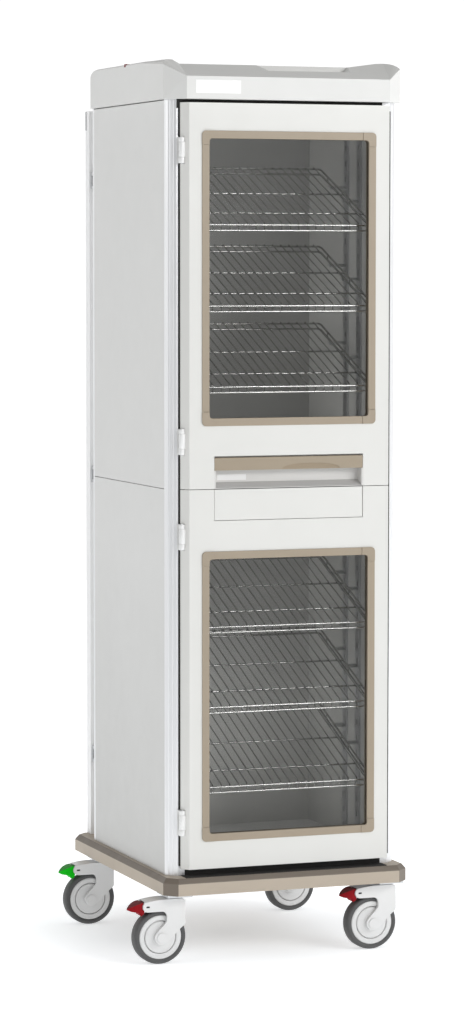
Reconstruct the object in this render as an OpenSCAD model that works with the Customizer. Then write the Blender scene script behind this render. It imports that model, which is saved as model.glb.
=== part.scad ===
// Enclosed two-door cabinet cart: framed body on a moulded base, glazed
// doors with inclined wire shelves behind them, and four swivel casters.
// Millimetres. X is the width, the doors face -Y, Z is up, the floor is z = 0.

/* [Base] */
// Width of the moulded base
base_w = 600; // [590:1:620]
// Depth of the moulded base
base_d = 715; // [705:1:735]
// Corner chamfer of the base
base_chamfer = 27; // [20:1:30]
// Width of the bevel round the base's top edge
base_bevel = 9.5; // [5:0.5:10]

/* [Cabinet] */
// Width over the side panels
body_w = 561; // [553:1:565]
// Height of the line between the two doors
split_z = 1087; // [1075:1:1095]
// Height of the top of the cabinet body
body_top = 1968; // [1950:1:1990]
// Thickness of the side panels
side_t = 12; // [8:0.5:14]

/* [Top cover] */
// Height of the cover's front face
lid_face_h = 50.8; // [46:0.2:54]
// Height of the side rims above the body
lid_rim_h = 92; // [86:1:98]
// Depth of the tray in the top of the cover
tray_depth = 13; // [8:1:16]

/* [Doors] */
// Thickness of the door leaves
door_t = 21.5; // [20.5:0.5:22]
// Visible width of the window bezels
bezel_w = 17.5; // [16:0.5:19]
// Thickness of the window glass
glass_t = 5.8; // [4:0.2:5.8]

/* [Wire shelves] */
// Slope of the shelves, rising to the back
shelf_angle = 22.2; // [18:0.2:23]
// Vertical distance between shelves
shelf_pitch = 184.4; // [180:0.2:188]
// Distance between the front-to-back wires
wire_pitch = 21; // [20:0.5:28]
// Diameter of the front-to-back wires
wire_d = 3; // [2.5:0.1:3.5]
// Diameter of the shelf frame wires
rail_d = 5; // [4.5:0.1:5.4]

/* [Casters] */
// Diameter of the wheels
wheel_d = 125; // [121:1:125]
// Distance from the swivel axis back to the wheel's axle
trail = 40; // [38:1:42]
// Radius of the wheel axles
axle_r = 6; // [5:0.25:6.5]

/* [Hidden] */
$fn = 48;

// heights
wheel_r = wheel_d / 2;
base_z = wheel_r + 99;
base_top = base_z + 39.5;
bevel_z = base_top - 11;
floor_top = base_top + 25;
mid_z0 = split_z - 25;
mid_z1 = split_z + 25;
ceil_z = body_top - 28;

// casters
swivel_x = base_w / 2 - 39;
swivel_yf = -(base_d / 2 - 58.5);
swivel_yr = base_d / 2 - 136.9;
pedal_reach = 76;

// everything is shifted sideways by this, so that the bounding box's bottom
// centre is the origin although the wheels all trail to one side
x0 = (swivel_x + trail + pedal_reach - base_w / 2) / 2;

// body section
hw = body_w / 2;
inner_x = hw - side_t;
post_front = -311;
post_rear = 257;
post_in = 241;
back_y = 211;
back_t = 11;
side_y0 = -283.7;
side_y1 = 226.1;

// doors
door_front = -335;
door_back = door_front + door_t;
door_x0 = -(hw - 27.7);
door_x1 = hw - 30.1;
door_chamfer = 15;
low_z0 = base_top + 16.5;
low_z1 = split_z - 0.7;
up_z0 = split_z + 0.7;
up_z1 = body_top - 7.7;
win_x0 = -207.5;
win_x1 = 216.5;
lwin_z0 = base_top + 79.5;
lwin_z1 = split_z - 142;
uwin_z0 = split_z + 143.5;
uwin_z1 = body_top - 70.4;
bezel_in = 4.5;
bezel_corner = 32;
hand_x0 = -177.6;
hand_x1 = 186.7;
hand_z0 = split_z - 72;
hand_z1 = split_z + 74.6;
pad_y = -326;
pad_z = split_z + 69;

// hinges: pin axis and the middle height of each
hin_x = -252.5;
hin_y = -324;
hin_r = 6.8;
hin_h = 58;
pin_r = 3;
up_hinges = [body_top - 115, split_z + 108];
low_hinges = [split_z - 108, base_top + 123.5];

// shelves: height of each front rail, and how far back they reach
up_shelves = [for (i = [0:2]) body_top - 281.9 - i * shelf_pitch];
low_shelves = [for (i = [0:2]) split_z - 319.3 - i * shelf_pitch];
shelf_y = -300;
shelf_run = 337;
shelf_len = shelf_run / cos(shelf_angle);
shelf_hx = 228;
shelf_drop = 12.7;
std_ys = [-113, -33];

// lid
lid_hw = hw + 8.5;
lid_f = -345.6;
lid_r = 270;
lid_c = 42;
lid_z = body_top;
lid_face = lid_z + lid_face_h;
lid_rim = lid_z + lid_rim_h;
lid_ridge = lid_rim - 10;

// rear push rails
rail_x = 248;
rail_w = 30;
rail_y0 = 318;
rail_y1 = 348;
rail_top = body_top - 2;

light = [0.86, 0.86, 0.84];
panel_c = [0.80, 0.80, 0.79];
alu = [0.74, 0.78, 0.83];
tan = [0.67, 0.62, 0.55];
bumper_c = [0.71, 0.66, 0.60];
steel = [0.62, 0.63, 0.65];
dark = [0.12, 0.12, 0.12];
smoke = [0.25, 0.25, 0.25, 0.5];

module place() translate([x0, 0, 0]) children();

// box given by its two corners
module box(a, b) translate(a) cube(b - a);

// octagonal outline of half-width w, front f, rear r and corner chamfer c
module outline(w, f, r, c)
  polygon([[w - c, f], [w, f + c], [w, r - c], [w - c, r], [-w + c, r], [-w, r - c], [-w, f + c], [-w + c, f]]);

// ---- base ----

module bevel_prism(w, length)
  rotate([90, 0, 0]) linear_extrude(length, center = true)
    polygon([[-w, base_z], [w, base_z], [w, bevel_z], [w - base_bevel, base_top], [-w + base_bevel, base_top], [-w, bevel_z]]);

module base_bumper() color(bumper_c) place() difference() {
  intersection() {
    translate([0, 0, base_z]) linear_extrude(base_top - base_z)
      outline(base_w / 2, -base_d / 2, base_d / 2, base_chamfer);
    bevel_prism(base_w / 2, base_d + 20);
    rotate([0, 0, 90]) bevel_prism(base_d / 2, base_w + 20);
    rotate([0, 0, 45]) bevel_prism((base_w / 2 + base_d / 2 - base_chamfer) / sqrt(2), 1400);
    rotate([0, 0, -45]) bevel_prism((base_w / 2 + base_d / 2 - base_chamfer) / sqrt(2), 1400);
  }
  box([-base_w / 2 + 15, -base_d / 2 + 17, base_z - 5], [base_w / 2 - 15, base_d / 2 - 17, base_top - 8]);
}

module chassis_frame() color(steel) place() {
  difference() {
    union() {
      for (s = [-1, 1])
        box([s > 0 ? base_w / 2 - 85 : -base_w / 2 + 15.5, -base_d / 2 + 17.5, base_z],
            [s > 0 ? base_w / 2 - 15.5 : -base_w / 2 + 85, base_d / 2 - 17.5, base_top - 8]);
      for (q = [[-base_d / 2 + 57.5, 0], [0, 2], [base_d / 2 - 57.5, 0]])
        box([-base_w / 2 + 84, q[0] - 30, base_z - q[1]], [base_w / 2 - 84, q[0] + 30, base_top - 8]);
    }
    for (s = [-1, 1])
      box([s > 0 ? base_w / 2 - 82 : -base_w / 2 + 18.5, -base_d / 2, base_z + 3],
          [s > 0 ? base_w / 2 - 18.5 : -base_w / 2 + 82, base_d / 2, base_top - 11]);
  }
}

// ---- body ----

// footprint of the floor, divider and ceiling between the posts
module deck(z0, z1, front) {
  box([-post_in, front, z0], [post_in, back_y, z1]);
  box([-inner_x, -269.5, z0], [inner_x, back_y, z1]);
}

module floor_panel() color(light) place() deck(base_top, floor_top, post_front);

module mid_rail() color(light) place() {
  deck(mid_z0, split_z - 1, post_front);
  deck(split_z - 1.5, mid_z1, -300);
}

module ceiling_panel() color(light) place() deck(ceil_z, body_top, post_front);

module post_section(f, s) difference() {
  polygon(concat([[post_in, f], [hw - 20.5, f]],
    // slightly crowned corner facet with two shallow flutes
    [for (q = [[0.10, 0.9], [0.22, 1.7], [0.30, 0.9], [0.38, 2.2], [0.56, 2.5], [0.62, 1.5], [0.70, 2.2], [0.86, 1.3]])
      [hw - 20.5 + 20.5 * q[0] + q[1] * 0.7071, f + s * (20.5 * q[0] - q[1] * 0.7071)]],
    [[hw, f + s * 20.5], [hw, s > 0 ? side_y0 - 0.3 : side_y1 + 0.3],
     [inner_x, s > 0 ? side_y0 - 0.3 : side_y1 + 0.3],
     [inner_x, s > 0 ? -270 : back_y + back_t], [post_in, s > 0 ? -270 : back_y + back_t]]));
  // ribs on the outer face
  for (i = [0:2])
    translate([post_in + 3 + i * 5.2, f - 1]) translate([0, s > 0 ? 0 : 0.4]) square([2, 1.6]);
  // hollow core
  translate([post_in + 3.5, s > 0 ? f + 5 : back_y + back_t + 3]) square([hw - post_in - 26, s > 0 ? 30 : 26]);
}

module posts_front() color(alu) place()
  for (s = [0, 1]) mirror([s, 0, 0])
    translate([0, 0, base_top]) linear_extrude(body_top - base_top) post_section(post_front, 1);

module posts_rear() color(alu) place()
  for (s = [0, 1]) mirror([s, 0, 0])
    translate([0, 0, base_top]) linear_extrude(body_top - base_top) post_section(post_rear, -1);

module side_panel(s, z0, z1) color(panel_c) place()
  box([s > 0 ? inner_x : -hw, side_y0, z0], [s > 0 ? hw : -inner_x, side_y1, z1]);

module side_panel_left_upper() side_panel(-1, split_z + 0.6, body_top - 2);
module side_panel_left_lower() side_panel(-1, base_top, split_z - 0.6);
module side_panel_right_upper() side_panel(1, split_z + 0.6, body_top - 2);
module side_panel_right_lower() side_panel(1, base_top, split_z - 0.6);

module back_panel(z0, z1) color(panel_c) place()
  box([-inner_x, back_y, z0], [inner_x, back_y + back_t, z1]);

module back_panel_upper() back_panel(split_z + 0.6, body_top);
module back_panel_lower() back_panel(base_top, split_z - 0.6);

// ---- top cover ----

// upper part of the cover: two side rims whose outer shoulders are rounded
// towards the front, a lower ridge between them, and a front slope that fans
// out to the corners
module crown() {
  w = lid_hw; c = lid_c; z0 = lid_z + 20; t = lid_rim; m = lid_ridge; f = lid_face;
  // across a rim, from the outer edge inwards: offset, height in front, start behind the front face, height further back
  rim = [[0, t - 14, c, t - 4], [3, t - 9, c + 8, t - 1.6], [9, t - 4, c + 20, t - 0.4], [16, t - 1.2, c + 32, t], [25, t, c + 42, t], [38, t - 0.5, c + 46, t - 0.5]];
  n = len(rim);
  back = c + 150;
  // one station across the cover: front, further back, or the rear end
  function inset(i, s) = rim[i][0] + (s > 0 && i == n - 1 ? 4 : 0);
  function station(y, h) = concat(
    [for (i = [0:n - 1]) [-w + inset(i, -1), lid_f + (y < 0 ? rim[i][2] : y), rim[i][h]]],
    [for (x = [-w + 52, w - 111]) [x, lid_f + (y < 0 ? 80 : y), m]],
    [for (i = [n - 1:-1:0]) [w - inset(i, 1), lid_f + (y < 0 ? rim[i][2] : y), rim[i][h]]]);
  k = 2 * n + 2;
  pts = concat(station(-1, 1), station(back, 3), station(lid_r - lid_f, 3),
    [[-w + c, lid_f, f], [w - c, lid_f, f],
     [-w, lid_f + c, z0], [-w + c, lid_f, z0], [w - c, lid_f, z0], [w, lid_f + c, z0], [w, lid_r, z0], [-w, lid_r, z0],
     [-w + 89, lid_r, z0], [w - 139, lid_r, z0]]);
  a = 3 * k; b = a + 2; r = 2 * k;
  out = concat([for (i = [0:k - 2]) [i, i + 1, k + i + 1]], [for (i = [0:k - 2]) [i, k + i + 1, k + i]],
    [for (i = [0:k - 2]) [k + i, k + i + 1, r + i + 1, r + i]],
    [for (i = [0:n - 1]) [a, i + 1, i]], [[a, a + 1, n + 1, n]], [for (i = [n + 1:k - 2]) [a + 1, i + 1, i]],
    [[b + 1, b + 2, a + 1, a], [b, b + 1, a, 0], [b + 2, b + 3, k - 1, a + 1],
     [b + 3, b + 4, r + k - 1, 2 * k - 1, k - 1], [b + 5, b, 0, k, r],
     concat([b + 6, b + 5], [for (i = [0:n]) r + i]), [b + 7, b + 6, r + n, r + n + 1],
     concat([b + 7], [for (i = [n + 1:k - 1]) r + i], [b + 4]), [b, b + 5, b + 6, b + 7, b + 4, b + 3, b + 2, b + 1]]);
  polyhedron(pts, [for (g = out) [for (i = [len(g) - 1:-1:0]) g[i]]], convexity = 6);
}

module top_cover() color(light) place() difference() {
  intersection() {
    union() {
      translate([0, 0, lid_z]) linear_extrude(lid_face_h) outline(lid_hw, lid_f, lid_r, lid_c);
      crown();
    }
    translate([0, 0, lid_z]) linear_extrude(lid_rim_h + 5) outline(lid_hw, lid_f, lid_r, lid_c);
    // rounded rear shoulder
    rotate([90, 0, 90]) linear_extrude(lid_hw * 2 + 20, center = true)
      polygon(concat([[lid_f - 5, lid_z - 5], [lid_r + 5, lid_z - 5], [lid_r + 5, lid_face], [lid_r, lid_face]],
        [for (a = [0:15:90]) [lid_r - lid_c - 75 + 75 * cos(a), lid_rim - 19 + 19 * sin(a)]],
        [[lid_f - 5, lid_rim]]));
  }
  // hollow underside
  box([-235, -262, lid_z - 1], [235, 215, lid_z + 30]);
  // shallow recess in the front slope
  translate([0, -255, lid_ridge - 14]) rotate([90, 0, 0]) linear_extrude(120)
    polygon([[-35, 0], [164, 0], [180, 16], [-51, 16]]);
  // tray in the top
  box([-200, -225, lid_ridge - tray_depth], [150, 170, lid_rim + 5]);
  // seat of the marker
  box([-lid_hw - 1, -38.1, lid_rim - 7.1], [-lid_hw + 14.1, -25.9, lid_rim + 5]);
}

module lid_marker() color([0.45, 0.1, 0.12]) place()
  box([-lid_hw, -38, lid_rim - 7], [-lid_hw + 14, -26, lid_rim]);

// ---- wire shelves ----

module wire(a, b, d) {
  v = b - a;
  translate(a) rotate([0, acos(v[2] / norm(v)), atan2(v[1], v[0])]) cylinder(h = norm(v), d = d, $fn = 8);
}

module shelf(zf) {
  dy = cos(shelf_angle); dz = sin(shelf_angle);
  n = rail_d / 2 + wire_d / 2 - 0.6;
  front_z = n * dy + n * (1 + dz) / dy * dz;
  translate([0, shelf_y, zf]) {
    // double front rail and double side rails
    for (o = [0, -shelf_drop]) {
      wire([-shelf_hx - 2, 0, o], [shelf_hx + 2, 0, o], rail_d);
      for (s = [-1, 1])
        wire([s * shelf_hx, 0, o], [s * shelf_hx, shelf_len * dy, o + shelf_len * dz], rail_d);
    }
    // cross wires and the back wire
    for (y = [68, 183, shelf_run])
      wire([-shelf_hx - 2, y, y * dz / dy], [shelf_hx + 2, y, y * dz / dy], rail_d - 0.6);
    wire([-shelf_hx - 2, shelf_run, shelf_run * dz / dy - shelf_drop], [shelf_hx + 2, shelf_run, shelf_run * dz / dy - shelf_drop], rail_d - 0.6);
    // front-to-back wires, bent down behind the front rails
    for (i = [0:floor(420 / wire_pitch)]) {
      x = (i - floor(420 / wire_pitch) / 2) * wire_pitch;
      wire([x, n - 0.5, front_z - 0.2], [x, shelf_run + 2 - n * dz, (shelf_run + 2) * dz / dy + n * dy], wire_d);
      wire([x, n, -shelf_drop - rail_d / 2], [x, n, front_z + 0.5], wire_d);
    }
  }
}

module wire_shelves_upper() color(steel) place() for (z = up_shelves) shelf(z);
module wire_shelves_lower() color(steel) place() for (z = low_shelves) shelf(z);

module shelf_standards() color(steel) place()
  for (s = [0, 1], y = std_ys, r = [[floor_top + 4, mid_z0 - 4], [mid_z1 + 4, ceil_z - 4]]) mirror([s, 0, 0])
    difference() {
      box([inner_x - 4, y - 13, r[0]], [inner_x, y + 13, r[1]]);
      for (z = [r[0] + 20:36.8:r[1] - 20])
        box([inner_x - 5, y - 2.5, z - 6], [inner_x - 1.5, y + 2.5, z + 6]);
    }

module shelf_clips() color(steel) place()
  for (s = [0, 1], zf = concat(up_shelves, low_shelves), y = std_ys) mirror([s, 0, 0])
    translate([0, y, zf + (y - shelf_y) * tan(shelf_angle) - shelf_drop]) rotate([shelf_angle, 0, 0]) {
      box([shelf_hx - 6, -7, -rail_d / 2 - 3.1], [inner_x - 4, 7, -rail_d / 2 - 0.1]);
      box([shelf_hx - 6, -7, -rail_d / 2 - 3.1], [shelf_hx - 3.2, 7, 2]);
    }

// ---- rear push rails ----

module rear_push_rails() color(alu) place()
  for (s = [0, 1]) mirror([s, 0, 0]) difference() {
    translate([0, 0, base_top]) linear_extrude(rail_top - base_top) difference() {
      translate([rail_x - rail_w / 2, rail_y0]) square([rail_w, rail_y1 - rail_y0]);
      translate([rail_x - rail_w / 2 + 3, rail_y0 + 3]) square([rail_w - 6, rail_y1 - rail_y0 - 6]);
      for (i = [0:2]) {
        translate([rail_x - 8 + i * 7, rail_y1 - 1.2]) square([2, 2]);
        translate([rail_x + rail_w / 2 - 1.2, rail_y0 + 7 + i * 7]) square([2, 2]);
      }
    }
    // seat of the cross bar
    box([rail_x - rail_w, rail_y1 - 10, rail_top - 46], [rail_x + rail_w, rail_y1 + 5, rail_top + 5]);
  }

module rear_cross_bar() color([0.55, 0.56, 0.57]) place()
  box([-rail_x - rail_w / 2, rail_y1 - 10, rail_top - 46], [rail_x + rail_w / 2, rail_y1, rail_top]);

module rear_rail_brackets() color(steel) place()
  for (s = [0, 1], z = [base_top + 200, split_z, body_top - 170]) mirror([s, 0, 0])
    difference() {
      box([post_in + 1, post_rear, z - 20], [rail_x + rail_w / 2 - 4, rail_y0, z + 20]);
      box([post_in, post_rear + 5, z - 12], [rail_x + rail_w / 2, rail_y0 - 5, z + 12]);
    }

// ---- doors ----

module leaf(z0, z1, w0, w1, hinges) difference() {
  translate([0, 0, z0]) linear_extrude(z1 - z0)
    polygon([[door_x0, door_back], [door_x0, door_front + door_chamfer], [door_x0 + door_chamfer, door_front],
             [door_x1, door_front], [door_x1, door_back]]);
  box([win_x0 + bezel_in, door_front - 5, w0 + bezel_in], [win_x1 - bezel_in, door_back + 5, w1 - bezel_in]);
  // pockets for the hinges: the barrel, the fixed leaf's neck, the moving leaf
  for (z = hinges) {
    translate([hin_x, hin_y, z - hin_h / 2 - 1]) cylinder(h = hin_h + 2, r = hin_r + 0.5);
    box([door_x0 - 5, hin_y, z - hin_h / 2 - 1], [hin_x + 5.2, door_back + 5, z + hin_h / 2 + 1]);
    box([hin_x, hin_y - 3.6, z - hin_h / 2 + 13.5], [hin_x + 13.2, hin_y + 3.6, z + hin_h / 2 - 10.5]);
  }
}

module door_upper_leaf() color(light) place() difference() {
  leaf(up_z0, up_z1, uwin_z0, uwin_z1, up_hinges);
  box([hand_x0 - 0.2, door_front - 5, up_z0 - 5], [hand_x1 + 0.2, door_back + 5, hand_z1 + 0.2]);
}

module door_lower_leaf() color(light) place() difference() {
  leaf(low_z0, low_z1, lwin_z0, lwin_z1, low_hinges);
  box([hand_x0 - 0.2, door_front - 5, hand_z0 - 0.2], [hand_x1 + 0.2, door_front + 15, low_z1 + 5]);
  for (x = [-120, 130]) translate([x, 0, split_z - 37]) rotate([90, 0, 0]) translate([0, 0, 300]) cylinder(h = 30, r = 4.05);
}

// section of a bezel strip: u runs inwards from its outer edge
function strip_pts(o, d) = [for (p = [[0, door_front - 2], [bezel_w, door_front - 2], [bezel_w, door_front + 5],
  [bezel_w - 5.5, door_front + 5], [bezel_w - 5.5, door_front + 11], [bezel_w, door_front + 11], [bezel_w, door_front + 17],
  [bezel_in, door_front + 17], [bezel_in, door_front], [0, door_front]]) [o + d * p[0], p[1]]];

module bezel_strips(w0, w1) color(tan) place() {
  translate([0, 0, w0 + bezel_corner + 0.3]) linear_extrude(w1 - w0 - 2 * bezel_corner - 0.6) {
    polygon(strip_pts(win_x0, 1));
    polygon(strip_pts(win_x1, -1));
  }
  for (q = [[w0, 1], [w1, -1]])
    translate([(win_x0 + win_x1) / 2, 0, 0]) rotate([0, -90, 0])
      linear_extrude(win_x1 - win_x0 - 2 * bezel_corner - 0.6, center = true) polygon(strip_pts(q[0], q[1]));
}
module bezel_strips_upper() bezel_strips(uwin_z0, uwin_z1);
module bezel_strips_lower() bezel_strips(lwin_z0, lwin_z1);

// one corner piece, its outer corner at the origin, reaching to +X and +Y of its own plane
module corner_l(a, b, r, q = 0) difference() {
  union() {
    translate([a + r, a]) square([bezel_corner - a - r, bezel_corner - a]);
    translate([a, a + r]) square([bezel_corner - a, bezel_corner - a - r]);
    if (r > 0) translate([a + r, a + r]) circle(r = r);
  }
  translate([b + q, b]) square(bezel_corner);
  translate([b, b + q]) square(bezel_corner);
  if (q > 0) translate([b + q, b + q]) circle(r = q);
}
module corner_piece() {
  // own plane is (x, z); the front is at -Y
  rotate([90, 0, 0]) {
    translate([0, 0, -door_front]) linear_extrude(3) corner_l(0, bezel_w, 9.5, 7);
    translate([0, 0, -door_front - 5]) linear_extrude(5) corner_l(bezel_in, bezel_w, 0, 7);
    translate([0, 0, -door_front - 11]) linear_extrude(6) corner_l(bezel_in, bezel_w - 5.5, 0);
    translate([0, 0, -door_front - 17]) linear_extrude(6) corner_l(bezel_in, bezel_w, 0, 7);
  }
}
module bezel_corners(w0, w1) color(tan) place()
  for (c = [[win_x0, 0], [win_x1, 1]], q = [[w0, 0], [w1, 1]])
    translate([c[0], 0, q[0]]) mirror([c[1], 0, 0]) mirror([0, 0, q[1]]) corner_piece();
module bezel_corners_upper() bezel_corners(uwin_z0, uwin_z1);
module bezel_corners_lower() bezel_corners(lwin_z0, lwin_z1);

module glass(w0, w1) color(smoke) place()
  box([win_x0 + bezel_w - 5.3, door_front + 8 - glass_t / 2, w0 + bezel_w - 5.3],
      [win_x1 - bezel_w + 5.3, door_front + 8 + glass_t / 2, w1 - bezel_w + 5.3]);
module glass_upper() glass(uwin_z0, uwin_z1);
module glass_lower() glass(lwin_z0, lwin_z1);

// section drawn as (y, z), extruded along X from xa to xb
module along_x(xa, xb) translate([xa, 0, 0]) rotate([90, 0, 90]) linear_extrude(xb - xa) children();

module handle_pocket() color(steel) place() difference() {
  union() {
    along_x(hand_x0 + 0.1, hand_x1 - 0.1)
      polygon([[door_front + 0.4, up_z0 + 0.2], [door_front + 0.4, up_z0 + 1.5], [door_front + 25, split_z + 14.5],
               [door_front + 25, hand_z1 - 3.2], [door_front + 13, hand_z1 - 3.2], [door_front + 13, hand_z1 - 0.2],
               [door_front + 28, hand_z1 - 0.2], [door_front + 28, up_z0 + 0.2]]);
    for (q = [[hand_x0 + 0.1, hand_x0 + 3.1], [hand_x1 - 3.1, hand_x1 - 0.1]])
      along_x(q[0], q[1])
        polygon([[door_front + 0.4, up_z0 + 0.2], [door_front + 0.4, split_z + 41.5], [door_front + 5.8, split_z + 41.5],
                 [door_front + 5.8, hand_z1 - 0.2], [door_front + 28, hand_z1 - 0.2], [door_front + 28, up_z0 + 0.2]]);
  }
  translate([-250, pad_y, pad_z]) rotate([0, 90, 0]) cylinder(h = 500, r = 2.55);
}

module door_handle_paddle() color(tan) place() {
  difference() {
    union() {
      along_x(hand_x0 + 0.4, hand_x1 - 0.4)
        polygon([[door_front + 0.6, split_z + 42.2], [door_front + 4.4, split_z + 42.2], [door_front + 4.4, pad_z + 1.5], [door_front + 0.6, pad_z + 1.5]]);
      along_x(hand_x0 + 3.5, hand_x1 - 3.5)
        polygon([[door_front + 4, split_z + 42.2], [door_front + 9, split_z + 42.2], [door_front + 9, split_z + 45.2],
                 [door_front + 6.5, split_z + 48], [door_front + 6.5, pad_z - 4.5], [door_front + 12.4, pad_z - 4.5],
                 [door_front + 12.4, pad_z + 2.3], [door_front + 4, pad_z + 2.3]]);
      translate([hand_x0 + 0.3, pad_y, pad_z]) rotate([0, 90, 0]) cylinder(h = hand_x1 - hand_x0 - 0.6, r = 2.5);
    }
    // finger scoop
    translate([58.5, door_front + 2.6, split_z + 42.2]) rotate([90, 0, 0]) linear_extrude(5)
      polygon([for (i = [0:23]) let (a = i * 15) [72 * sign(cos(a)) * pow(abs(cos(a)), 0.75), 13.5 * sin(a)]]);
  }
}

module lower_latch_panel() color(light) place() {
  box([hand_x0 + 0.7, door_front + 0.3, hand_z0 + 0.9], [hand_x1 - 1.5, door_front + 8.3, low_z1 - 0.3]);
  for (x = [-120, 130]) translate([x, door_front + 8, split_z - 37]) rotate([-90, 0, 0]) cylinder(h = 11.8, r = 4);
}

module door_seals() color(dark) place() {
  // upright strips on the posts, the left one with gaps for the hinge leaves
  segs = [[base_top + 23, low_hinges[1] - 29.5], [low_hinges[1] + 29.5, low_hinges[0] - 29.5], [low_hinges[0] + 29.5, mid_z0 + 3],
          [mid_z0 + 8, up_hinges[1] - 29.5], [up_hinges[1] + 29.5, up_hinges[0] - 29.5], [up_hinges[0] + 29.5, body_top - 20]];
  for (r = segs)
    box([-hw + 24.5, post_front - 2.2, r[0]], [-post_in, post_front, r[1]]);
  box([post_in, post_front - 2.2, base_top + 23], [hw - 18.7, post_front, body_top - 20]);
  // sill on the base, in front of the floor
  box([-post_in - 9, -base_d / 2 + base_bevel + 1, base_top], [post_in + 4, post_front, base_top + 1.2]);
  // black bands below the doors, behind their meeting line and under the cover
  for (r = [[base_top, base_top + 23, 0], [mid_z0 + 3, mid_z0 + 8, 15], [body_top - 20, body_top, 19]])
    box([-post_in - r[2], post_front - 2.2, r[0]], [post_in, post_front, r[1]]);
}

// ---- hinges ----

module knuckle(z0, z1, r) difference() {
  translate([hin_x, hin_y, z0]) cylinder(h = z1 - z0, r = hin_r);
  translate([hin_x, hin_y, z0 - 1]) cylinder(h = z1 - z0 + 2, r = r);
}

module hinge_leaves_fixed() color(light) place()
  for (zc = concat(up_hinges, low_hinges)) {
    z0 = zc - hin_h / 2; z1 = zc + hin_h / 2;
    difference() {
      union() {
        box([hin_x - 7, post_front - 2.2, z0], [hin_x + 7.3, post_front, z1]);
        for (r = [[z0, z0 + 13.3], [z1 - 10.3, z1]]) {
          translate([hin_x, hin_y, r[0]]) cylinder(h = r[1] - r[0], r = hin_r);
          box([hin_x - 4, hin_y, r[0]], [hin_x + 4.5, post_front - 1, r[1]]);
        }
      }
      translate([hin_x, hin_y, z0 - 1]) cylinder(h = hin_h + 2, r = pin_r);
    }
  }

module hinge_leaves(zs) color(light) place()
  for (zc = zs) {
    z0 = zc - hin_h / 2; z1 = zc + hin_h / 2;
    difference() {
      union() {
        translate([hin_x, hin_y, z0 + 13.6]) cylinder(h = hin_h - 24.2, r = hin_r);
        box([hin_x, hin_y - 3.5, z0 + 13.6], [hin_x + 13.1, hin_y + 3.5, z1 - 10.6]);
      }
      translate([hin_x, hin_y, z0 - 1]) cylinder(h = hin_h + 2, r = pin_r + 0.05);
    }
  }
module hinge_leaves_upper() hinge_leaves(up_hinges);
module hinge_leaves_lower() hinge_leaves(low_hinges);

module hinge_pins() color(steel) place()
  for (zc = concat(up_hinges, low_hinges))
    translate([hin_x, hin_y, zc - hin_h / 2 - 1]) cylinder(h = hin_h + 2, r = pin_r);

module latch_keepers() color(steel) place() {
  box([-30, -304, split_z + 5], [30, -300, split_z + 21]);
  box([100, post_front - 2.2, mid_z0 + 10], [160, post_front, mid_z0 + 22]);
}

// ---- casters: drawn round the wheel's centre, swivel axis at x = trail ----

// section drawn as (x, z), centred across the wheel
module across(t, y = 0) translate([0, y, 0]) rotate([90, 0, 0]) linear_extrude(t, center = true) children();

module at_caster(sx, y) translate([x0 + sx * swivel_x - trail, y, wheel_r]) children();

module caster_head_one() {
  translate([trail, 0, 0]) {
    box([-30, -39, 93], [30, 39, 99]);
    translate([0, 0, 88.8]) cylinder(h = 5, r = 17);
    translate([0, 0, 63]) cylinder(h = 28, r = 7);
    translate([0, 0, 62.7]) cylinder(h = 4, r = 8.4);
  }
}
module caster_heads() color(steel)
  for (s = [-1, 1], y = [swivel_yf, swivel_yr]) at_caster(s, y) caster_head_one();

// arc of points, radius r about c, from angle a0 to a1
function arc(c, r, a0, a1, n) = [for (i = [0:n]) c + r * [cos(a0 + (a1 - a0) * i / n), sin(a0 + (a1 - a0) * i / n)]];

// side shape of the fork: round front end about the pedal's pivot, arched
// hood, and a leg that runs down and back to the axle
pedal_c = [-33, 73];
function fork_pts() = concat(
  arc(pedal_c, 12, 120, 270, 10),
  arc([1, 49], 12, 90, 0, 6),
  [[13, 40], [10, 34], [4, 27], [-3, 21]],
  arc([0, 0], 16, 130, 315, 12),
  [[20, -5], [31, 6], [39, 14], [47, 21.5]],
  arc([47, 34], 10, 320, 360, 3),
  arc([50.5, 82], 6.5, 0, 90, 5),
  [[0, 88.5], [-14, 87.4], [-27, 85.6]]);

module fork() difference() {
  union() {
    for (s = [-1, 1]) across(8, s * 21) polygon(fork_pts());
    across(35) polygon([[-17, 68], [-15, 67], [49, 67], [53, 50], [53, 34], [57, 34], [57, 82], [50.5, 88.5], [0, 88.5], [-14, 87.4],
      [-27, 85.6], [-37.5, 84.1], [-37.5, 82.4], [-17, 82.4]]);
    translate([trail, 0, 78]) cylinder(h = 10.5, r = 17);
  }
  translate([trail, 0, 50]) cylinder(h = 50, r = 7.05);
  rotate([90, 0, 0]) cylinder(h = 80, r = axle_r, center = true);
  translate([pedal_c[0], 0, pedal_c[1]]) rotate([90, 0, 0]) cylinder(h = 44.6, r = 3.05, center = true);
  // slots in the outer faces, over the ends of the pedal's pin
  across(60) translate(pedal_c) for (s = [-1, 1]) translate([s * 2.4, 0]) circle(r = 2);
  across(60) translate(pedal_c) square([4.8, 4], center = true);
}

module wheel_disc() rotate([90, 0, 0]) rotate_extrude($fn = 96)
  polygon(concat([for (p = [[axle_r + 0.05, 16.6], [12, 16.6], [12.8, 15.6], [13.6, 16.2], [19.5, 16], [20.3, 14.9], [36, 14.5],
    [36.8, 11], [38.2, 11], [39, 14.8], [48, 14.8], [wheel_r - 12, 13.8]]) [p[0], -p[1]]],
    [for (p = [[wheel_r - 12, 13.8], [48, 14.8], [39, 14.8], [38.2, 11], [36.8, 11], [36, 14.5], [20.3, 14.9], [19.5, 16],
    [13.6, 16.2], [12.8, 15.6], [12, 16.6], [axle_r + 0.05, 16.6]]) p]));

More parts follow.
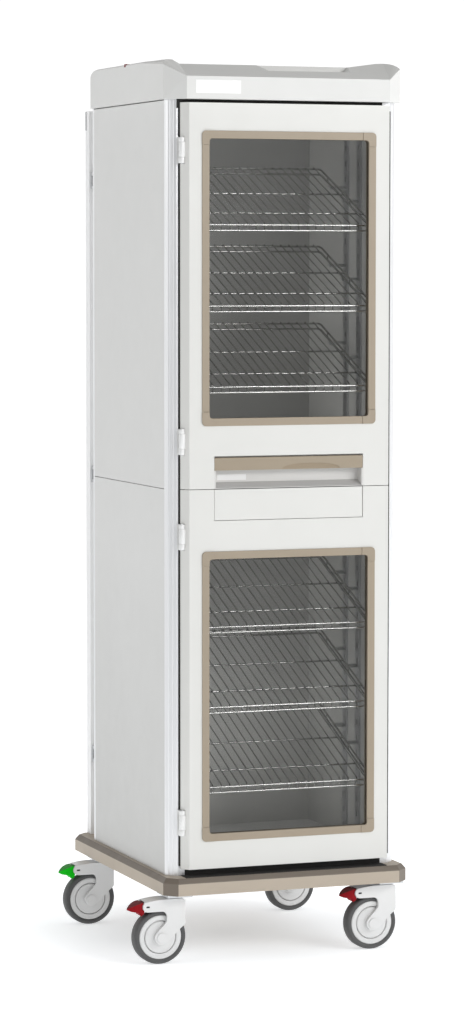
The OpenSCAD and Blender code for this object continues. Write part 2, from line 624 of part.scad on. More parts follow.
module tyre() rotate([90, 0, 0]) rotate_extrude($fn = 96)
  polygon([[wheel_r - 12, -14], [wheel_r - 10.5, -15], [wheel_r - 6, -16], [wheel_r - 2, -14], [wheel_r, -9],
           [wheel_r, 9], [wheel_r - 2, 14], [wheel_r - 6, 16], [wheel_r - 10.5, 15], [wheel_r - 12, 14]]);

module axle() {
  rotate([90, 0, 0]) cylinder(h = 54, r = axle_r, center = true);
  for (s = [-1, 1]) translate([0, s * 26.25, 0]) rotate([90, 0, 0]) cylinder(h = 2.5, r = 11, center = true);
}

// foot pedal: beak in front of the fork, arms between its cheeks to the
// pivot, and a claw that presses on the tyre
module pedal() {
  intersection() {
    across(42) polygon(concat(arc(pedal_c, 12.6, 135, 233, 9),
      [[-41.5, 58], [-44, 55], [-50, 59.5], [-58, 61], [-70, 62.5], [-76, 65], [-75, 68], [-70, 72], [-64, 75.6], [-57, 79], [-50, 81.6], [-43.4, 82.8]]));
    // the beak narrows to its tip
    linear_extrude(100) polygon([[-30, -21], [-52, -21], [-62, -17], [-70, -10], [-76, -2], [-76, 2], [-70, 10], [-62, 17], [-52, 21], [-30, 21]]);
  }
  across(33) polygon(concat(arc(pedal_c, 8, -60, 120, 10), [[-44, 82], [-50, 76], [-50, 64], [-44, 61]]));
  across(28) polygon([[-48, 66], [-40, 62], [-42, 54], [-45.5, 51], [-49, 53], [-52, 60]]);
  translate([pedal_c[0], 0, pedal_c[1]]) rotate([90, 0, 0]) cylinder(h = 43.6, r = 3, center = true);
}

red = [0.62, 0.1, 0.12];
green = [0.05, 0.5, 0.15];
module caster_fl_fork() color(panel_c) at_caster(-1, swivel_yf) fork();
module caster_fl_wheel() color(light) at_caster(-1, swivel_yf) wheel_disc();
module caster_fl_tyre() color(dark) at_caster(-1, swivel_yf) tyre();
module caster_fl_axle() color(steel) at_caster(-1, swivel_yf) axle();
module caster_fl_pedal() color(red) at_caster(-1, swivel_yf) pedal();
module caster_fr_fork() color(panel_c) at_caster(1, swivel_yf) fork();
module caster_fr_wheel() color(light) at_caster(1, swivel_yf) wheel_disc();
module caster_fr_tyre() color(dark) at_caster(1, swivel_yf) tyre();
module caster_fr_axle() color(steel) at_caster(1, swivel_yf) axle();
module caster_fr_pedal() color(red) at_caster(1, swivel_yf) pedal();
module caster_rl_fork() color(panel_c) at_caster(-1, swivel_yr) fork();
module caster_rl_wheel() color(light) at_caster(-1, swivel_yr) wheel_disc();
module caster_rl_tyre() color(dark) at_caster(-1, swivel_yr) tyre();
module caster_rl_axle() color(steel) at_caster(-1, swivel_yr) axle();
module caster_rl_pedal() color(green) at_caster(-1, swivel_yr) pedal();
module caster_rr_fork() color(panel_c) at_caster(1, swivel_yr) fork();
module caster_rr_wheel() color(light) at_caster(1, swivel_yr) wheel_disc();
module caster_rr_tyre() color(dark) at_caster(1, swivel_yr) tyre();
module caster_rr_axle() color(steel) at_caster(1, swivel_yr) axle();
module caster_rr_pedal() color(red) at_caster(1, swivel_yr) pedal();

base_bumper();
chassis_frame();
floor_panel();
posts_front();
posts_rear();
side_panel_left_upper();
side_panel_left_lower();
side_panel_right_upper();
side_panel_right_lower();
back_panel_upper();
back_panel_lower();
mid_rail();
ceiling_panel();
top_cover();
lid_marker();
shelf_standards();
wire_shelves_upper();
wire_shelves_lower();
shelf_clips();
rear_push_rails();
rear_cross_bar();
rear_rail_brackets();
door_upper_leaf();
door_lower_leaf();
bezel_strips_upper();
bezel_strips_lower();
bezel_corners_upper();
bezel_corners_lower();
glass_upper();
glass_lower();
handle_pocket();
door_handle_paddle();
lower_latch_panel();
door_seals();
hinge_leaves_fixed();
hinge_leaves_upper();
hinge_leaves_lower();
hinge_pins();
latch_keepers();
caster_heads();
caster_fl_fork();
caster_fl_wheel();
caster_fl_tyre();
caster_fl_axle();
caster_fl_pedal();
caster_fr_fork();
caster_fr_wheel();
caster_fr_tyre();
caster_fr_axle();
caster_fr_pedal();
caster_rl_fork();
caster_rl_wheel();
caster_rl_tyre();
caster_rl_axle();
caster_rl_pedal();
caster_rr_fork();
caster_rr_wheel();
caster_rr_tyre();
caster_rr_axle();
caster_rr_pedal();
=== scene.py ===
import math

import bmesh
import bpy
from mathutils import Matrix, Vector


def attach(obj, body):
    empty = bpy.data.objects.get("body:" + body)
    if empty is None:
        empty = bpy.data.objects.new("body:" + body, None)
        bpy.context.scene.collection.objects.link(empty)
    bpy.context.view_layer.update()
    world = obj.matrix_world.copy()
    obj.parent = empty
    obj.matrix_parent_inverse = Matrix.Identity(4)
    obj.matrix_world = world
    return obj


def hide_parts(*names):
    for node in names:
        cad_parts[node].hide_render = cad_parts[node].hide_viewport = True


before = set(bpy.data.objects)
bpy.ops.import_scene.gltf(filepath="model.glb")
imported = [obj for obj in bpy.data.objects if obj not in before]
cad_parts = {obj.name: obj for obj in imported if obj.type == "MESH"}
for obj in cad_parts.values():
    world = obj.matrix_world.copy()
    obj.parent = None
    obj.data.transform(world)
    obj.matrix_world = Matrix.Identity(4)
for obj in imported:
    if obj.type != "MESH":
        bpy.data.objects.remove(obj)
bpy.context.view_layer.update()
scene = bpy.context.scene
X0 = 0.0385  # the cabinet's centre line in the row frame


# ---------------------------------------------------------------- camera

def make_camera():
    yaw, pitch = math.radians(20.256), math.radians(4.06)
    roll = math.radians(0.029)
    fwd = Vector((math.sin(yaw) * math.cos(pitch), math.cos(yaw) * math.cos(pitch), -math.sin(pitch)))
    right = Vector((math.cos(yaw), -math.sin(yaw), 0))
    up = right.cross(fwd)
    right, up = right * math.cos(roll) + up * math.sin(roll), up * math.cos(roll) - right * math.sin(roll)
    data = bpy.data.cameras.new("camera")
    data.sensor_width = 36
    data.lens = 3496.9 * 36 / 1024
    data.clip_start, data.clip_end = 0.5, 200
    cam = bpy.data.objects.new("camera", data)
    scene.collection.objects.link(cam)
    m = Matrix((right, up, -fwd)).transposed().to_4x4()
    m.translation = Vector((-2.8839 + X0, -7.7838, 1.5979))
    cam.matrix_world = m
    scene.camera = cam


make_camera()
scene.view_settings.view_transform = "Standard"
scene.view_settings.look = "None"
scene.view_settings.exposure = 0
scene.view_settings.gamma = 1


# ---------------------------------------------------------------- materials

class Nodes:
    """A small helper that makes and links shader nodes."""

    def __init__(self, name):
        self.mat = bpy.data.materials.new(name)
        self.mat.use_nodes = True
        self.tree = self.mat.node_tree
        self.tree.nodes.clear()
        self.out = self.new("ShaderNodeOutputMaterial")

    def new(self, kind, **props):
        n = self.tree.nodes.new(kind)
        for k, v in props.items():
            setattr(n, k, v)
        return n

    def link(self, a, b):
        self.tree.links.new(a, b)

    def coords(self, scale=(1, 1, 1), rot=(0, 0, 0)):
        t = self.new("ShaderNodeTexCoord")
        m = self.new("ShaderNodeMapping")
        m.inputs["Scale"].default_value = scale
        m.inputs["Rotation"].default_value = rot
        self.link(t.outputs["Object"], m.inputs["Vector"])
        return m.outputs["Vector"]

    def noise(self, vec, scale, detail=2.0, rough=0.5):
        n = self.new("ShaderNodeTexNoise")
        n.inputs["Scale"].default_value = scale
        n.inputs["Detail"].default_value = detail
        n.inputs["Roughness"].default_value = rough
        self.link(vec, n.inputs["Vector"])
        return n.outputs["Fac"]

    def ramp(self, fac, stops):
        r = self.new("ShaderNodeValToRGB")
        el = r.color_ramp.elements
        while len(el) < len(stops):
            el.new(0.5)
        for e, (p, c) in zip(el, stops):
            e.position = p
            e.color = (*c, 1) if len(c) == 3 else c
        self.link(fac, r.inputs["Fac"])
        return r.outputs["Color"]

    def span(self, fac, lo, hi, a=0.3, b=0.7):
        m = self.new("ShaderNodeMapRange")
        m.inputs["From Min"].default_value = a
        m.inputs["From Max"].default_value = b
        m.inputs["To Min"].default_value = lo
        m.inputs["To Max"].default_value = hi
        self.link(fac, m.inputs["Value"])
        return m.outputs["Result"]

    def math(self, op, a, b=0.0):
        m = self.new("ShaderNodeMath", operation=op)
        for i, val in enumerate((a, b)):
            if isinstance(val, (int, float)):
                m.inputs[i].default_value = val
            else:
                self.link(val, m.inputs[i])
        return m.outputs[0]

    def split(self, vec):
        x = self.new("ShaderNodeSeparateXYZ")
        self.link(vec, x.inputs[0])
        return x.outputs["X"], x.outputs["Y"], x.outputs["Z"]

    def mix(self, fac, a, b):
        m = self.new("ShaderNodeMix", data_type="RGBA")
        self.link(fac, m.inputs["Factor"])
        self.link(a, m.inputs["A"] if m.inputs["A"].type == "RGBA" else m.inputs[6])
        self.link(b, m.inputs["B"] if m.inputs["B"].type == "RGBA" else m.inputs[7])
        return m.outputs[2]

    def bump(self, height, strength, distance, normal=None):
        b = self.new("ShaderNodeBump")
        b.inputs["Strength"].default_value = strength
        b.inputs["Distance"].default_value = distance
        self.link(height, b.inputs["Height"])
        if normal is not None:
            self.link(normal, b.inputs["Normal"])
        return b.outputs["Normal"]


def shade(c, k):
    return tuple(min(1.0, x * k) for x in c)


def plastic(name, colour, rough=0.4, grain=900, grain_h=0.00003, spread=0.012, coat=0.0, mottle=6, specular=0.5, tone=None):
    """Moulded or coated sheet: slight cloudiness of the colour, a fine moulded grain, uneven gloss.
    tone makes a mask, and the darker colour painted there; every use of it in this script paints shade."""
    n = Nodes(name)
    p = n.new("ShaderNodeBsdfPrincipled")
    v = n.coords()
    cloud = n.noise(v, mottle, 4.0, 0.55)
    col = n.ramp(cloud, [(0.3, shade(colour, 1 - spread)), (0.7, shade(colour, 1 + spread))])
    if tone:
        mask, other = tone[0](n), tone[1]
        col = n.mix(mask, col, n.ramp(cloud, [(0.3, shade(other, 1 - spread)), (0.7, shade(other, 1 + spread))]))
    n.link(col, p.inputs["Base Color"])
    gloss = n.noise(v, 28, 3.0, 0.6)
    n.link(n.span(gloss, rough - 0.05, rough + 0.06), p.inputs["Roughness"])
    fine = n.noise(v, grain, 2.0, 0.6)
    wave = n.noise(v, 4.0, 1.0, 0.4)
    first = n.bump(wave, 0.25, 0.0006)
    n.link(n.bump(fine, 0.35, grain_h, first), p.inputs["Normal"])
    p.inputs["Specular IOR Level"].default_value = specular
    p.inputs["Coat Weight"].default_value = coat
    p.inputs["Coat Roughness"].default_value = 0.15
    n.link(p.outputs["BSDF"], n.out.inputs["Surface"])
    return n.mat


def metal(name, colour, rough=0.3, brush=(1, 1, 0.02), metallic=1.0, spread=0.06, depth=0.00002, scale=260, tone=None):
    """Metal with a directional finish: stretched noise in the colour, gloss and relief.
    tone makes a mask, and the colour and the added roughness put there; its one use in this script paints a highlight
    on the shelves' front rails."""
    n = Nodes(name)
    p = n.new("ShaderNodeBsdfPrincipled")
    v = n.coords(brush)
    lines = n.noise(v, scale, 5.0, 0.65)
    col = n.ramp(lines, [(0.25, shade(colour, 1 - spread)), (0.75, shade(colour, 1 + spread))])
    w = n.coords()
    cloud = n.noise(w, 9, 3.0, 0.6)
    gloss = n.span(cloud, rough - 0.05, rough + 0.07)
    if tone:
        mask, other, more = tone[0](n), tone[1], tone[2]
        col = n.mix(mask, col, n.ramp(lines, [(0.25, shade(other, 1 - spread)), (0.75, shade(other, 1 + spread))]))
        gloss = n.math("ADD", gloss, n.math("MULTIPLY", mask, more))
    n.link(col, p.inputs["Base Color"])
    n.link(gloss, p.inputs["Roughness"])
    n.link(n.bump(lines, 0.5, depth), p.inputs["Normal"])
    p.inputs["Metallic"].default_value = metallic
    n.link(p.outputs["BSDF"], n.out.inputs["Surface"])
    return n.mat


def rubber(name, colour, rough=0.7, grain=500, coat=0.0):
    n = Nodes(name)
    p = n.new("ShaderNodeBsdfPrincipled")
    v = n.coords()
    dust = n.noise(v, 40, 5.0, 0.7)
    n.link(n.ramp(dust, [(0.35, shade(colour, 0.88)), (0.72, shade(colour, 1.14))]), p.inputs["Base Color"])
    n.link(n.span(dust, rough - 0.1, rough + 0.1), p.inputs["Roughness"])
    fine = n.noise(v, grain, 3.0, 0.7)
    n.link(n.bump(fine, 0.5, 0.00006), p.inputs["Normal"])
    p.inputs["Specular IOR Level"].default_value = 0.4
    n.link(p.outputs["BSDF"], n.out.inputs["Surface"])
    return n.mat


def smoked(name, tint, gloss=0.06):
    """Smoked sheet: mostly see-through and darkening, with a clear reflection at grazing angles."""
    n = Nodes(name)
    v = n.coords()
    haze = n.noise(v, 3.5, 3.0, 0.5)
    clear = n.new("ShaderNodeBsdfTransparent")
    n.link(n.ramp(haze, [(0.3, shade(tint, 0.95)), (0.7, shade(tint, 1.05))]), clear.inputs["Color"])
    p = n.new("ShaderNodeBsdfPrincipled")
    p.inputs["Base Color"].default_value = (0.16, 0.16, 0.155, 1)
    p.inputs["Specular IOR Level"].default_value = 0.6
    n.link(n.span(haze, 0.06, 0.12), p.inputs["Roughness"])
    f = n.new("ShaderNodeFresnel")
    f.inputs["IOR"].default_value = 1.5
    m = n.new("ShaderNodeMath", operation="ADD")
    m.inputs[1].default_value = gloss
    n.link(f.outputs["Fac"], m.inputs[0])
    mix = n.new("ShaderNodeMixShader")
    n.link(m.outputs[0], mix.inputs["Fac"])
    n.link(clear.outputs[0], mix.inputs[1])
    n.link(p.outputs[0], mix.inputs[2])
    n.link(mix.outputs[0], n.out.inputs["Surface"])
    return n.mat


def bevel_shade_mask(n):
    """Painted shade: 1 on the sloping faces and corner facets of the bumper, 0 on its upright and level faces, which
    stay lighter.
    """
    g = n.new("ShaderNodeTexCoord")
    nx, ny, nz = n.split(g.outputs["Normal"])
    steep = n.math("MULTIPLY", n.math("GREATER_THAN", nz, 0.2), n.math("LESS_THAN", nz, 0.97))
    ax, ay = n.math("ABSOLUTE", nx), n.math("ABSOLUTE", ny)
    corner = n.math("MULTIPLY", n.math("GREATER_THAN", ax, 0.3), n.math("GREATER_THAN", ay, 0.3))
    return n.math("MINIMUM", n.math("ADD", steep, corner), 1.0)


def scoop_shade_mask(n):
    """Painted shade: 1 on the sunk face of the paddle's finger scoop, which is given a darker tan."""
    x, y, z = n.split(n.coords())
    wide = n.math("LESS_THAN", n.math("ABSOLUTE", n.math("SUBTRACT", x, X0 + 0.0585)), 0.0725)
    low = n.math("LESS_THAN", z, 1.1428)
    sunk = n.math("MULTIPLY", n.math("GREATER_THAN", y, -0.3339), n.math("LESS_THAN", y, -0.3315))
    return n.math("MULTIPLY", n.math("MULTIPLY", wide, low), sunk)


def rail_highlight_mask(n):
    """Painted highlight: 1 on the front rails of the shelves, which get a lighter colour and a little more roughness
    than the wires.
    """
    return n.math("LESS_THAN", n.split(n.coords())[1], -0.2982)


def foot_shade_mask(n):
    """Painted shade: 0 high up on the side panels, rising to 1 at their foot, where they are darker."""
    return n.span(n.split(n.coords())[2], 1.0, 0.0, 0.16, 0.90)


def inner_shade_mask(n):
    """Painted shade: 1 on the faces of the back panels that look into the compartments, and less towards their foot;
    these faces are darker.
    """
    g = n.new("ShaderNodeTexCoord")
    height = n.span(n.split(n.coords())[2], 0.15, 1.0, 0.2, 1.0)
    return n.math("MULTIPLY", n.math("LESS_THAN", n.split(g.outputs["Normal"])[1], -0.5), height)


def top_shade_mask(n):
    """Painted shade: 1 on faces that look up, which the pedals have darker."""
    g = n.new("ShaderNodeTexCoord")
    return n.span(n.split(g.outputs["Normal"])[2], 0.0, 1.0, 0.35, 0.6)


def pocket_floor_shade_mask(n):
    """Painted shade: 1 on the pocket's floor, which is darker."""
    g = n.new("ShaderNodeTexCoord")
    return n.math("GREATER_THAN", n.split(g.outputs["Normal"])[2], 0.5)


M = {
    "door": plastic("door_white", (0.72, 0.717, 0.69), 0.42),
    # painted shade: the side panels' grey darkens towards their foot
    "panel": plastic("panel_grey", (0.705, 0.705, 0.69), 0.45, tone=(foot_shade_mask, (0.545, 0.545, 0.53))),
    # painted shade: the back panels' inner faces are a darker grey, less so at their foot
    "back": plastic("back_grey", (0.72, 0.72, 0.705), 0.45, tone=(inner_shade_mask, (0.45, 0.45, 0.44))),
    "lid": plastic("lid_white", (0.73, 0.73, 0.712), 0.45, grain=600, grain_h=0.00005),
    "liner": plastic("liner_grey", (0.74, 0.74, 0.73), 0.5),
    # painted shade: the bumper's sloping faces and corner facets are a dark tan
    "base": plastic("base_tan", (0.45, 0.385, 0.31), 0.5, grain=450, grain_h=0.00008, spread=0.025, tone=(bevel_shade_mask, (0.172, 0.142, 0.112))),
    "tan": plastic("bezel_tan", (0.345, 0.285, 0.212), 0.48, grain=700, grain_h=0.00005, spread=0.02),
    # painted shade: the sunk face of the finger scoop is a darker tan
    "paddle": plastic("paddle_tan", (0.335, 0.275, 0.20), 0.48, grain=700, grain_h=0.00005, spread=0.02, tone=(scoop_shade_mask, (0.29, 0.23, 0.155))),
    # painted shade: the pocket's floor is a darker grey
    "pocket": plastic("pocket_grey", (0.71, 0.70, 0.68), 0.4, tone=(pocket_floor_shade_mask, (0.56, 0.555, 0.545))),
    "post": metal("post_aluminium", (0.82, 0.825, 0.835), 0.36, metallic=0.6, spread=0.025),
    "rail": metal("rail_aluminium", (0.96, 0.96, 0.96), 0.4, metallic=0.0, spread=0.01),
    "alu": metal("strip_aluminium", (0.66, 0.67, 0.69), 0.38),
    # painted highlight: the shelves' front rails are a lighter metal than the other wires
    "wire": metal("shelf_wire", (0.52, 0.52, 0.51), 0.16, brush=(1, 1, 1), depth=0.00001, tone=(rail_highlight_mask, (0.88, 0.88, 0.87), 0.04)),
    "steel": metal("zinc_steel", (0.60, 0.61, 0.62), 0.35, brush=(1, 1, 1)),
    "chassis": metal("chassis_steel", (0.35, 0.35, 0.36), 0.5, brush=(1, 1, 1), metallic=0.6),
    "greybar": plastic("bar_grey", (0.33, 0.34, 0.35), 0.45),
    "hinge": plastic("hinge_white", (0.82, 0.82, 0.81), 0.3, coat=0.3),
    # the door seals are black rubber, and also painted shade: they fill the dark gaps at the doors' sill, under the
    # cover and beside the posts
    "seal": rubber("seal_and_gap_shade_black", (0.026, 0.025, 0.024), 0.8),
    "glass": smoked("smoked_glass", (0.90, 0.90, 0.895), 0.02),
    "fork": plastic("fork_white", (0.76, 0.76, 0.755), 0.34, coat=0.1, grain=700),
    "wheel": plastic("wheel_white", (0.73, 0.73, 0.725), 0.34, coat=0.1, grain=700),
    "tyre": rubber("tyre_grey", (0.09, 0.09, 0.09), 0.6),
    # painted shade: the upward faces of the red and the green pedals are darker
    "red": plastic("pedal_red", (0.28, 0.005, 0.010), 0.5, grain=700, specular=0.12, tone=(top_shade_mask, (0.14, 0.005, 0.008))),
    "green": plastic("pedal_green", (0.001, 0.52, 0.006), 0.5, grain=700, specular=0.12, tone=(top_shade_mask, (0.002, 0.30, 0.006))),
    "marker": plastic("marker_red", (0.20, 0.02, 0.025), 0.4, specular=0.3),
    "label": plastic("label_white", (0.90, 0.90, 0.89), 0.3, coat=0.2, grain=1200, grain_h=0.00001),
    # painted shade: dark plates standing in for the shade inside the casters' slots
    "slot_shade": plastic("slot_shade_dark", (0.02, 0.02, 0.022), 0.5, specular=0.2),
}

LOOK = {
    "base_bumper": ("base", 1.6), "chassis_frame": ("chassis", 0.8), "floor_panel": ("liner", 0.8),
    "posts_front": ("post", 0.5), "posts_rear": ("post", 0.5),
    "side_panel_left_upper": ("panel", 0.8), "side_panel_left_lower": ("panel", 0.8),
    "side_panel_right_upper": ("panel", 0.8), "side_panel_right_lower": ("panel", 0.8),
    "back_panel_upper": ("back", 0.8), "back_panel_lower": ("back", 0.8),
    "mid_rail": ("liner", 0.8), "ceiling_panel": ("liner", 0.8), "top_cover": ("lid", 3.0), "lid_marker": ("marker", 0.6),
    "shelf_standards": ("alu", 0.3), "shelf_clips": ("steel", 0.4),
    "wire_shelves_upper": ("wire", 0), "wire_shelves_lower": ("wire", 0),
    "rear_push_rails": ("rail", 0.6), "rear_cross_bar": ("greybar", 1.2), "rear_rail_brackets": ("steel", 0.6),
    "door_upper_leaf": ("door", 0.9), "door_lower_leaf": ("door", 0.9),
    "bezel_strips_upper": ("tan", 0.6), "bezel_strips_lower": ("tan", 0.6),
    "bezel_corners_upper": ("tan", 0.8), "bezel_corners_lower": ("tan", 0.8),
    "glass_upper": ("glass", 0), "glass_lower": ("glass", 0),
    "handle_pocket": ("pocket", 0.5), "door_handle_paddle": ("paddle", 0.8), "lower_latch_panel": ("door", 0.9),
    "door_seals": ("seal", 0.4), "hinge_leaves_fixed": ("hinge", 0.5), "hinge_leaves_upper": ("hinge", 0.5),
    "hinge_leaves_lower": ("hinge", 0.5), "hinge_pins": ("steel", 0.3), "latch_keepers": ("steel", 0.4),
    "caster_heads": ("steel", 0.6),
}
for c in ("fl", "fr", "rl", "rr"):
    LOOK["caster_%s_fork" % c] = ("fork", 2.6)
    LOOK["caster_%s_wheel" % c] = ("wheel", 0.8)
    LOOK["caster_%s_tyre" % c] = ("tyre", 1.2)
    LOOK["caster_%s_axle" % c] = ("fork", 0.8)
    LOOK["caster_%s_pedal" % c] = ("green" if c == "rl" else "red", 1.5)

for name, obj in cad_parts.items():
    key, bevel = LOOK[name]
    obj.data.materials.clear()
    obj.data.materials.append(M[key])
    if bevel:
        w = obj.modifiers.new("weld", "WELD")
        w.merge_threshold = 0.00001
        b = obj.modifiers.new("edge", "BEVEL")
        b.width = bevel / 1000
        b.segments = 3 if bevel > 1 else 2
        b.limit_method = "ANGLE"
        b.angle_limit = math.radians(28)
        b.harden_normals = True
        b.use_clamp_overlap = True


# ---------------------------------------------------------------- pieces

def rounded(points, r, closed=False, steps=5):
    """A polyline with its corners rounded: each becomes a short curve starting r before it."""
    out = []
    n = len(points)
    for i, p in enumerate(points):
        if not closed and i in (0, n - 1):
            out.append(p)
            continue
        a, c = points[i - 1], points[(i + 1) % n]
        q0, q1 = p + (a - p).normalized() * r, p + (c - p).normalized() * r
        for k in range(steps + 1):
            t = k / steps
            out.append(q0 * (1 - t) ** 2 + p * 2 * t * (1 - t) + q1 * t * t)
    return out


def shelf_paths(zf):
    """(points, radius, closed) of every wire of one shelf, whose front rail is at height zf, in millimetres from the cabinet's centre line."""
    run, drop, hx, y0 = 337.0, 12.7, 228.0, -300.0
    ang = math.radians(22.2)
    dy, dz, slope = math.cos(ang), math.sin(ang), math.tan(ang)
    n = 3.4

    def at(x, y, o=0.0):
        return Vector((x, y0 + y, zf + y * slope + o))

    paths = []
    for o in (0.0, -drop):
        loop = [at(-hx, run, o), at(-hx, 0, o), at(hx, 0, o), at(hx, run, o)]
        paths.append((rounded(loop, 11, True), 2.5, True))
    for y in (68, 183):
        paths.append(([at(-hx, y), at(hx, y)], 2.2, False))
    for i in range(21):
        x = (i - 10) * 21.0
        back = Vector((x, y0 + run + 2 - n * dz, zf + (run + 2) * slope + n * dy))
        front = Vector((x, y0 + n, zf + 5.06))
        foot = Vector((x, y0 + n, zf - drop - 2.5))
        paths.append((rounded([back, front, foot], 3.2), 1.5, False))
    # short ties between the two side rails
    for s in (-1, 1):
        for y in (30, 150, 290):
            paths.append(([at(s * hx, y, 1.0), at(s * hx, y, -drop - 1.0)], 1.6, False))
    return paths


def wire_shelves(name, heights, node):
    cu = bpy.data.curves.new(name, "CURVE")
    cu.dimensions = "3D"
    cu.bevel_depth = 0.001
    cu.bevel_resolution = 3
    cu.use_fill_caps = True
    for zf in heights:
        for points, radius, closed in shelf_paths(zf):
            sp = cu.splines.new("POLY")
            sp.points.add(len(points) - 1)
            for q, p in zip(sp.points, points):
                q.co = (p.x / 1000 + X0, p.y / 1000, p.z / 1000, 1)
                q.radius = radius
            sp.use_cyclic_u = closed
            sp.use_smooth = True
    cu.materials.append(M["wire"])
    o = bpy.data.objects.new(name, cu)
    scene.collection.objects.link(o)
    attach(o, "cabinet")
    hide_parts(node)


wire_shelves("wire_shelves_upper_round", (1686.1, 1501.7, 1317.3), "wire_shelves_upper")
wire_shelves("wire_shelves_lower_round", (767.7, 583.3, 398.9), "wire_shelves_lower")


def plate(name, a, b, material, body, edge=0.0002):
    """A thin plate between two corners, given in millimetres from the cabinet's centre line."""
    bm = bmesh.new()
    bmesh.ops.create_cube(bm, size=1.0)
    for v in bm.verts:
        v.co = Vector([(a[i] + (b[i] - a[i]) * (v.co[i] + 0.5)) / 1000 for i in range(3)]) + Vector((X0, 0, 0))
    me = bpy.data.meshes.new(name)
    bm.to_mesh(me)
    me.materials.append(M[material])
    o = bpy.data.objects.new(name, me)
    scene.collection.objects.link(o)
    m = o.modifiers.new("edge", "BEVEL")
    m.width = edge
    m.segments = 2
    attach(o, body)


# blank plates on the cover's front and on the back of the handle pocket
plate("cover_blank_plate", (-225.5, -346.1, 1980.9), (-117.8, -345.5, 2010.6), "label", "cabinet")
plate("pocket_blank_label", (-162.2, -310.3, 1105.6), (-91.7, -309.9, 1119.0), "label", "door_upper", 0.0001)
# painted shade: dark plates in the slots of the casters' cheeks, over the ends of the pedals' pins, standing in for the
# shade inside the slots
for c, sx, y in (("fl", -1, -299.0), ("fr", 1, -299.0), ("rl", -1, 220.6), ("rr", 1, 220.6)):
    for side, s in (("front", -1), ("back", 1)):
        px, pz, e = sx * 261 - 73, 135.5, sorted((y + s * 22.6, y + s * 24.4))
        plate("caster_%s_plug_%s" % (c, side), (px - 4.0, e[0], pz - 1.9), (px + 4.0, e[1], pz + 1.9), "slot_shade", "caster_%s_swivel" % c)


# ---------------------------------------------------------------- stage

WORLD = {"back": 1.06, "front": 0.42, "over": 0.33}

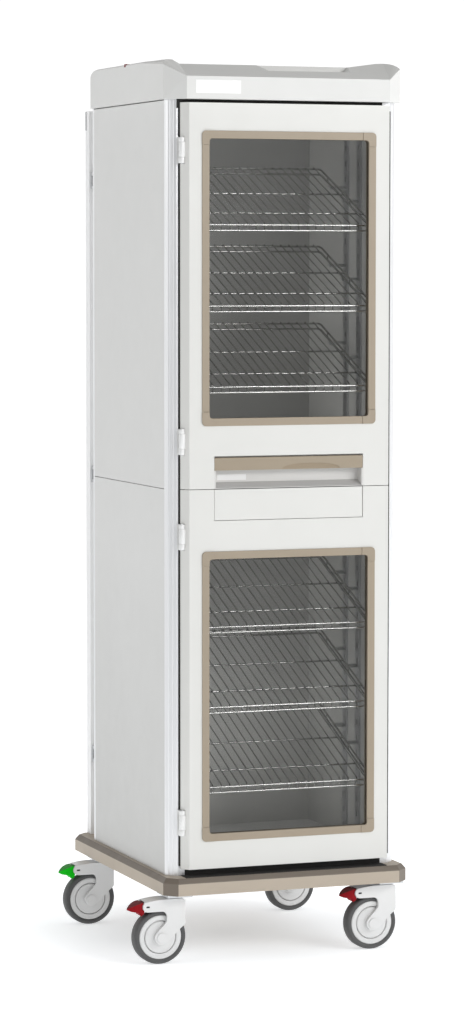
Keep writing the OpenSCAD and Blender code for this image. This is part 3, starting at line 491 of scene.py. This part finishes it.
def make_stage():
    n = Nodes("floor_pale")
    p = n.new("ShaderNodeBsdfPrincipled")
    v = n.coords()
    n.link(n.ramp(n.noise(v, 1.5, 3.0), [(0.3, (0.84, 0.87, 0.90)), (0.7, (0.86, 0.89, 0.92))]), p.inputs["Base Color"])
    p.inputs["Roughness"].default_value = 0.95
    p.inputs["Specular IOR Level"].default_value = 0.0
    p.inputs["Emission Color"].default_value = (1, 1, 1, 1)
    # painted shadow: the floor's glow is weakest close to the cart and rises outwards, and it is dimmer to the left of
    # the cart
    dist = n.new("ShaderNodeVectorMath", operation="LENGTH")
    n.link(v, dist.inputs[0])
    near = n.span(dist.outputs["Value"], 0.30, 0.40, 0.0, 0.25)
    mid = n.span(dist.outputs["Value"], 0.0, 0.38, 0.25, 0.65)
    far = n.span(dist.outputs["Value"], 0.0, 0.10, 0.65, 2.0)
    glow_with_painted_shadow = n.math("ADD", n.math("ADD", near, mid), far)
    n.link(n.math("MULTIPLY", glow_with_painted_shadow, n.span(n.split(v)[0], 0.40, 1.0, -2.0, -0.8)), p.inputs["Emission Strength"])
    n.link(p.outputs["BSDF"], n.out.inputs["Surface"])
    bm = bmesh.new()
    vs = [bm.verts.new(c) for c in ((-8, -8, 0), (9, -8, 0), (9, 9, 0), (-8, 9, 0))]
    bm.faces.new(vs)
    me = bpy.data.meshes.new("floor")
    bm.to_mesh(me)
    me.materials.append(n.mat)
    o = bpy.data.objects.new("floor", me)
    scene.collection.objects.link(o)

    # a white room that is dimmer overhead and in front of the cart
    world = bpy.data.worlds.new("studio")
    scene.world = world
    world.use_nodes = True
    t = world.node_tree
    bg = t.nodes["Background"]
    bg.inputs["Color"].default_value = (1.0, 1.0, 1.0, 1)
    tc = t.nodes.new("ShaderNodeTexCoord")
    sep = t.nodes.new("ShaderNodeSeparateXYZ")
    t.links.new(tc.outputs["Generated"], sep.inputs[0])

    def ramp(sock, a, b, lo, hi):
        m = t.nodes.new("ShaderNodeMapRange")
        m.interpolation_type = "SMOOTHSTEP"
        for k, val in (("From Min", a), ("From Max", b), ("To Min", lo), ("To Max", hi)):
            m.inputs[k].default_value = val
        t.links.new(sock, m.inputs["Value"])
        return m.outputs["Result"]

    def math_node(op, a, b):
        m = t.nodes.new("ShaderNodeMath")
        m.operation = op
        for i, val in enumerate((a, b)):
            if isinstance(val, (int, float)):
                m.inputs[i].default_value = val
            else:
                t.links.new(val, m.inputs[i])
        return m.outputs[0]

    side = ramp(sep.outputs["Y"], -0.55, 0.10, WORLD["front"], WORLD["back"])
    over = ramp(sep.outputs["Z"], 0.2, 0.75, 0.0, 1.0)
    keep = math_node("MULTIPLY", side, math_node("SUBTRACT", 1.0, over))
    t.links.new(math_node("ADD", keep, math_node("MULTIPLY", over, WORLD["over"])), bg.inputs["Strength"])


def area(name, loc, target, size, power, colour=(1, 1, 1), size_y=None):
    d = bpy.data.lights.new(name, "AREA")
    d.energy = power
    d.color = colour
    d.shape = "RECTANGLE"
    d.size = size
    d.size_y = size_y or size
    o = bpy.data.objects.new(name, d)
    scene.collection.objects.link(o)
    o.location = loc
    o.rotation_mode = "QUATERNION"
    o.rotation_quaternion = (Vector(target) - Vector(loc)).to_track_quat("-Z", "Y")
    return o


make_stage()
area("key", (3.3, -5.0, 3.6), (0, -0.3, 1.1), 4.2, 161, size_y=2.0)
sheen = area("sheen", (1.44, -3.35, 3.3), (0, -0.3, 1.2), 1.3, 42, size_y=3.7)  # seen only as a reflection, in the shelves' rails
sheen.visible_camera = False
sheen.visible_diffuse = False
area("left_fill", (-4.2, -0.6, 2.7), (-0.3, 0, 1.6), 2.5, 14, size_y=1.2)
# the light that comes in through the glass, spread over each compartment
for name, loc, aim, size, power in (
        ("upper_low", (0, -0.10, 1.13), (0, -0.10, 3.0), (0.36, 0.26), 0.10), ("upper_side", (-0.20, -0.12, 1.55), (0.25, -0.05, 1.53), (0.20, 0.60), 0.72),
        ("lower_low", (-0.10, -0.10, 0.24), (-0.10, -0.10, 3.0), (0.30, 0.26), 0.52), ("lower_side", (-0.20, -0.12, 0.66), (0.25, -0.05, 0.64), (0.20, 0.60), 0.46)):
    lamp = area("inside_" + name, (loc[0] + X0, loc[1], loc[2]), (aim[0] + X0, aim[1], aim[2]), size[0], power, size_y=size[1])
    lamp.visible_camera = False
    lamp.visible_glossy = False
